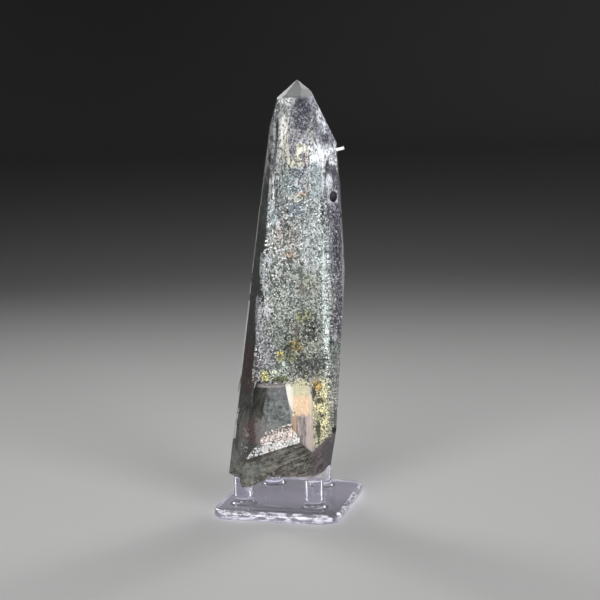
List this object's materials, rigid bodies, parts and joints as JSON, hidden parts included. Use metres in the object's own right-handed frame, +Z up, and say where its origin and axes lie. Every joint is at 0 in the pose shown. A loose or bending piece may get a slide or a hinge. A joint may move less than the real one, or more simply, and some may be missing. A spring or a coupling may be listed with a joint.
{
  "type": "phantom quartz crystal on a clear acrylic stand",
  "caption": "Tall tapering quartz point, clear outside, with a darker earlier crystal, feldspar and a small quartz shut in, standing broken end down on a clear plate with round pegs.",
  "frame": {"origin": "middle of the stand's underside, at the bottom centre of the object's box", "axes": "+Z up along the crystal, the object's longest side; +X to the right along the stand's front edge; -Y is the front. The crystal stands turned on the stand, its broad face 15.1 degrees to the right of the front"},
  "size_m": [0.05, 0.05, 0.1638],
  "materials": {
    "acrylic": "clear polished acrylic with a faint lilac tint",
    "clear_quartz": "clear natural crystal faces with fine growth lines, matt where broken",
    "phantom_quartz": "dark green-grey, densely speckled with pale grains",
    "feldspar": "cream to peach, satin cleavage faces",
    "grey_quartz": "grey-teal crystal faces"
  },
  "bodies": {
    "root": {"acrylic_stand": "acrylic", "crystal_front": "clear_quartz", "crystal_back": "clear_quartz", "phantom": "phantom_quartz", "feldspar": "feldspar", "small_quartz": "grey_quartz"}
  },
  "joints": []
}
